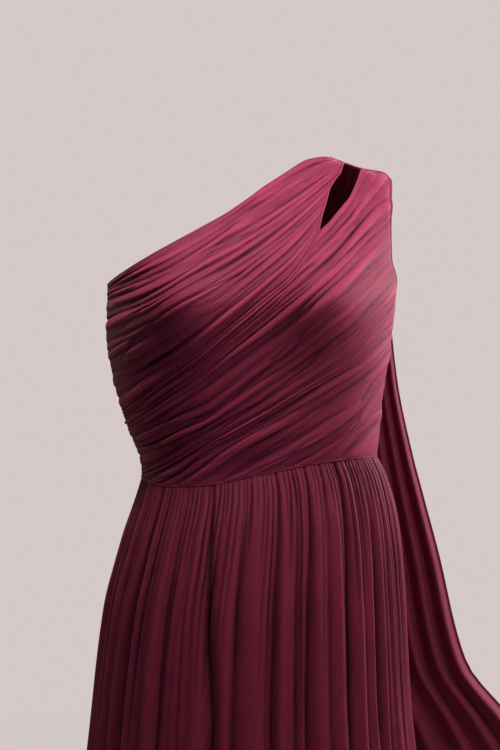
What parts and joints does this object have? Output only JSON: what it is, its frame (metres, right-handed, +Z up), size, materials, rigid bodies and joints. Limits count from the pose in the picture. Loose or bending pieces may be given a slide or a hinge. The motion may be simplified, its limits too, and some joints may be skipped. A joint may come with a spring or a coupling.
{
  "type": "one-shoulder dress",
  "caption": "Floor-length one-shoulder dress with a diagonally pleated bodice, a slit in the strap, a gathered skirt and a sheer shoulder cape, hollow as worn.",
  "frame": {"origin": "underside of the shoulder strap, midway along it, where the wearer's left shoulder holds the dress up", "axes": "+Z up, +X to the wearer's left, and the wearer faces -Y"},
  "size_m": [0.9118, 0.6531, 1.4197],
  "materials": {
    "bodice_chiffon": "soft sheen, fine crinkle",
    "band_chiffon": "soft sheen, pressed flat",
    "skirt_chiffon": "soft sheen, fine crinkle",
    "cape_chiffon": "sheer, soft sheen"
  },
  "bodies": {
    "root": {"front_bodice": "bodice_chiffon", "back_bodice": "bodice_chiffon", "shoulder_band": "band_chiffon", "skirt_front": "skirt_chiffon", "skirt_back": "skirt_chiffon", "cape": "cape_chiffon"}
  },
  "joints": []
}
